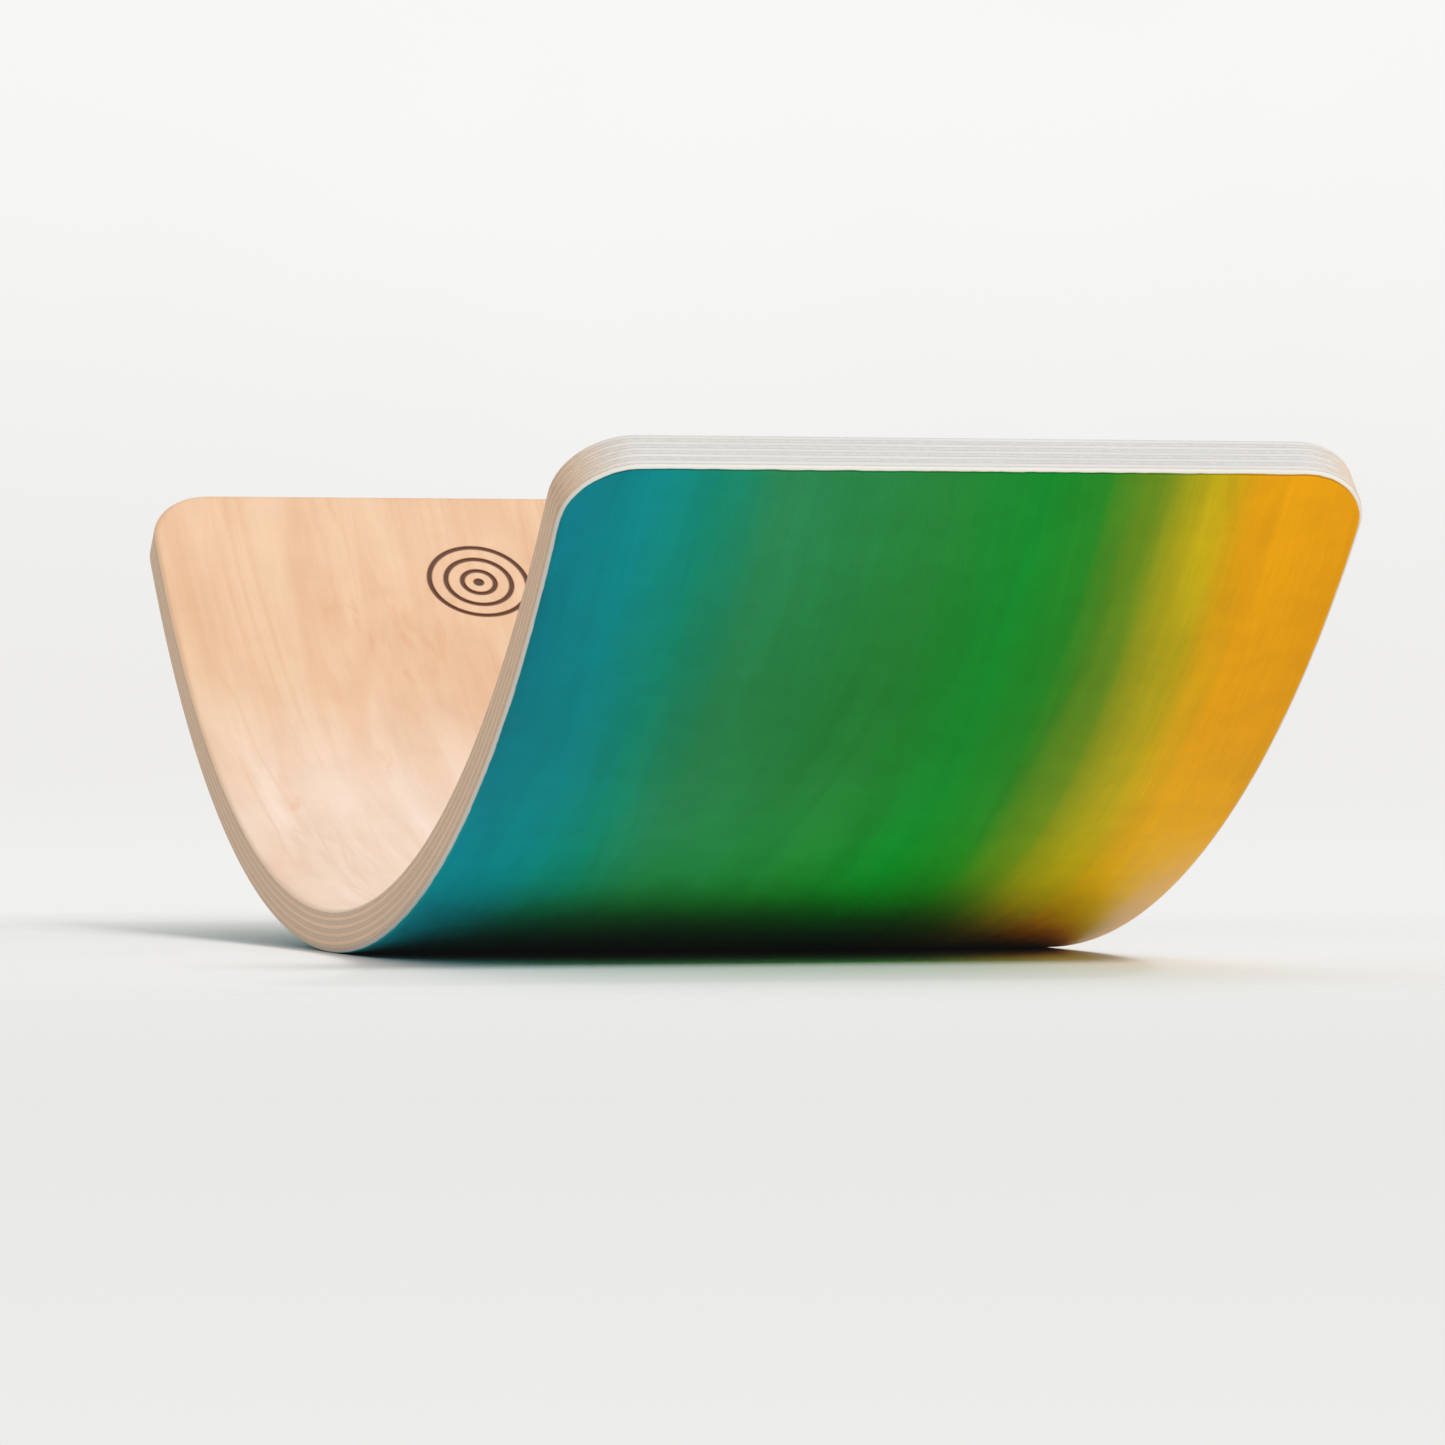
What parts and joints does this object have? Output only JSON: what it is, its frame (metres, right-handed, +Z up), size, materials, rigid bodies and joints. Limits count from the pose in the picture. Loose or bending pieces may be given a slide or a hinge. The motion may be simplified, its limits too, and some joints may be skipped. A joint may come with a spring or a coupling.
{
  "type": "balance board",
  "caption": "Curved rocking balance board of bent cross-laminated plywood: bare lacquered wood above to stand on, colour-stained underside that rolls on the floor.",
  "frame": {"origin": "middle of the line where the board's underside touches a flat floor", "axes": "+X along the board towards the end without the mark, +Y across the board towards the amber edge, +Z up"},
  "size_m": [0.7914, 0.3, 0.1933],
  "materials": {
    "standing_face": "clear satin lacquer over pale maple or birch veneer, with the mark burnt dark brown",
    "long_grain_wood": "sanded and lacquered veneer edge, grain along the board",
    "cross_grain_wood": "sanded and lacquered veneer edge, grain across the board",
    "stained_face": "water stain blended across the width from blue through green to amber, under satin lacquer"
  },
  "bodies": {
    "root": {"stained_face_veneer": "stained_face", "cross_grain_ply_02": "cross_grain_wood", "long_grain_ply_03": "long_grain_wood", "cross_grain_ply_04": "cross_grain_wood", "long_grain_ply_05": "long_grain_wood", "cross_grain_ply_06": "cross_grain_wood", "long_grain_ply_07": "long_grain_wood", "cross_grain_ply_08": "cross_grain_wood", "long_grain_ply_09": "long_grain_wood", "cross_grain_ply_10": "cross_grain_wood", "standing_face_veneer": "standing_face"}
  },
  "joints": []
}
